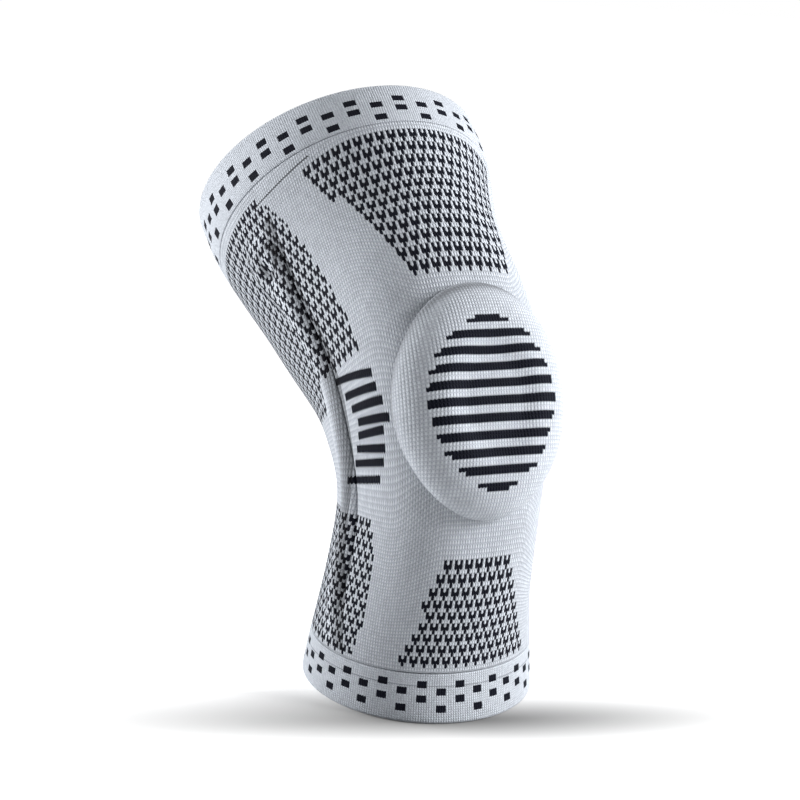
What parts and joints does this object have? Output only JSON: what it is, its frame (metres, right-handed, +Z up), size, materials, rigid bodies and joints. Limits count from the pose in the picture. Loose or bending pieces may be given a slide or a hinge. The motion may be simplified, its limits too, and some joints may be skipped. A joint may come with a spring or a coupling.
{
  "type": "knee sleeve",
  "caption": "Knitted knee sleeve, bent as worn, with an oval ring pad over the kneecap, a stay up each side and doubled elastic cuffs.",
  "frame": {"origin": "centre of the whole sleeve's bounding box in X and Y, at the height of the surface that the lower cuff stands on", "axes": "+Z up along the shank, -Y towards the kneecap (front), +X to the right seen from the front; the thigh leans back to +Y"},
  "size_m": [0.15, 0.2674, 0.2874],
  "materials": {
    "body_knit": "thick grey elastic knit with near-black houndstooth panels",
    "cuff_knit": "doubled grey elastic knit with rows of near-black dashes",
    "pad_knit": "grey knit stretched over a soft ring, with near-black stripes",
    "stay_knit": "grey knit channel over a spring stay"
  },
  "bodies": {
    "root": {"sleeve_body": "body_knit", "lower_cuff": "cuff_knit", "upper_cuff": "cuff_knit", "patella_pad": "pad_knit", "side_stay_left": "stay_knit", "side_stay_right": "stay_knit"}
  },
  "joints": []
}
